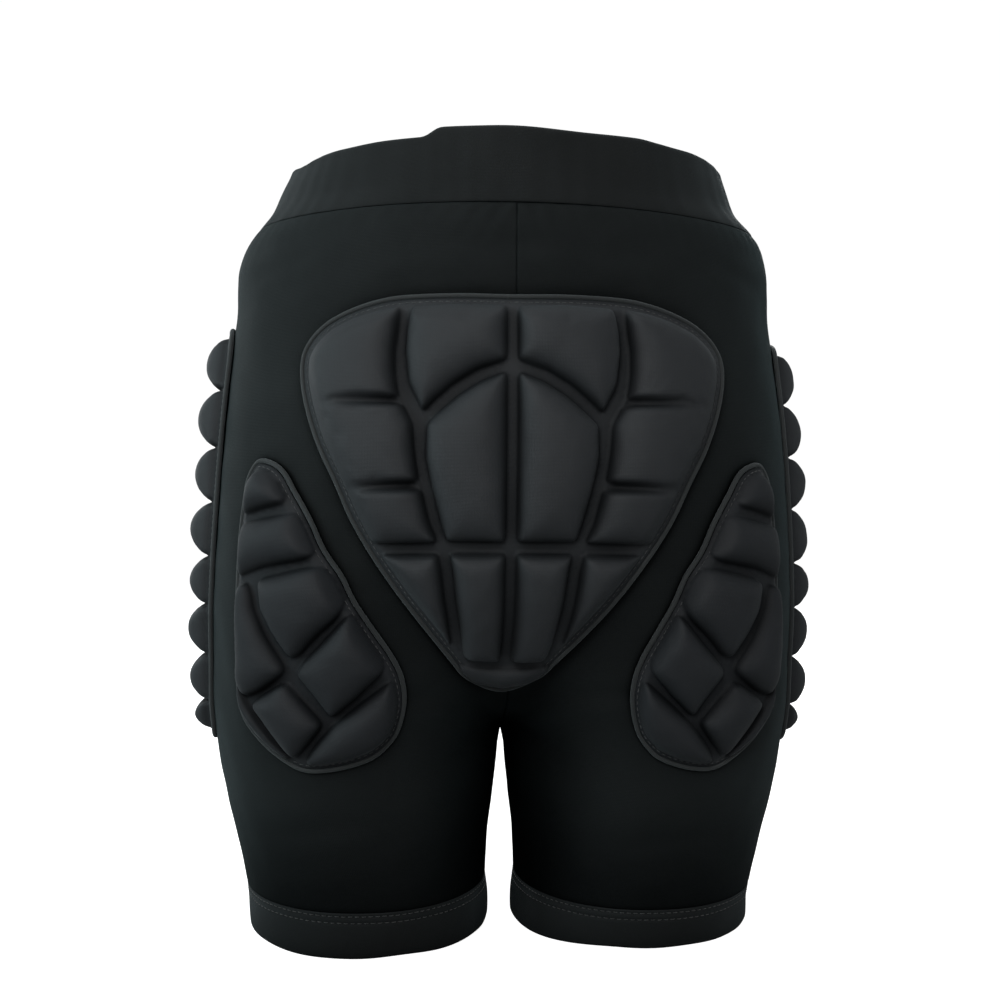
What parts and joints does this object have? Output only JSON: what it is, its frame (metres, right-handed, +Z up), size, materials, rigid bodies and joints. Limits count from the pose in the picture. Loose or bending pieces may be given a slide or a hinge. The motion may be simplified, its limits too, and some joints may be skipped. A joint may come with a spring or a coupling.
{
  "type": "padded impact shorts",
  "caption": "Stretch snow-sport shorts with sewn-on pillow-cell guards over the tailbone, both hips and both rear thighs, and an elastic waistband.",
  "frame": {"origin": "on the plane of the two leg hems, in the middle of the garment's outline seen from above", "axes": "+Z up to the waist, -Y the rear of the garment with the tailbone guard, +X to the right-hand side when looking at the rear"},
  "size_m": [0.3514, 0.2566, 0.4232],
  "materials": {
    "stretch_knit": "matte black stretch knit",
    "band_knit": "matte black doubled knit with twin-needle stitching",
    "guard_cloth": "black knit drawn over foam, soft sheen",
    "eva_foam": "dark grey closed-cell foam",
    "piping_cord": "black cord binding",
    "woven_elastic": "off-white woven elastic, hidden in the waistband"
  },
  "bodies": {
    "root": {"back_panel_left": "stretch_knit", "back_panel_right": "stretch_knit", "front_panel_left": "stretch_knit", "front_panel_right": "stretch_knit", "waistband_cover": "band_knit", "waistband_elastic": "woven_elastic", "leg_hem_left": "band_knit", "leg_hem_right": "band_knit", "tail_pad_cover": "guard_cloth", "tail_pad_foam": "eva_foam", "tail_pad_piping": "piping_cord", "thigh_pad_cover_left": "guard_cloth", "thigh_pad_foam_left": "eva_foam", "thigh_pad_piping_left": "piping_cord", "thigh_pad_cover_right": "guard_cloth", "thigh_pad_foam_right": "eva_foam", "thigh_pad_piping_right": "piping_cord", "hip_pad_cover_left": "guard_cloth", "hip_pad_foam_left": "eva_foam", "hip_pad_piping_left": "piping_cord", "hip_pad_cover_right": "guard_cloth", "hip_pad_foam_right": "eva_foam", "hip_pad_piping_right": "piping_cord"}
  },
  "joints": []
}
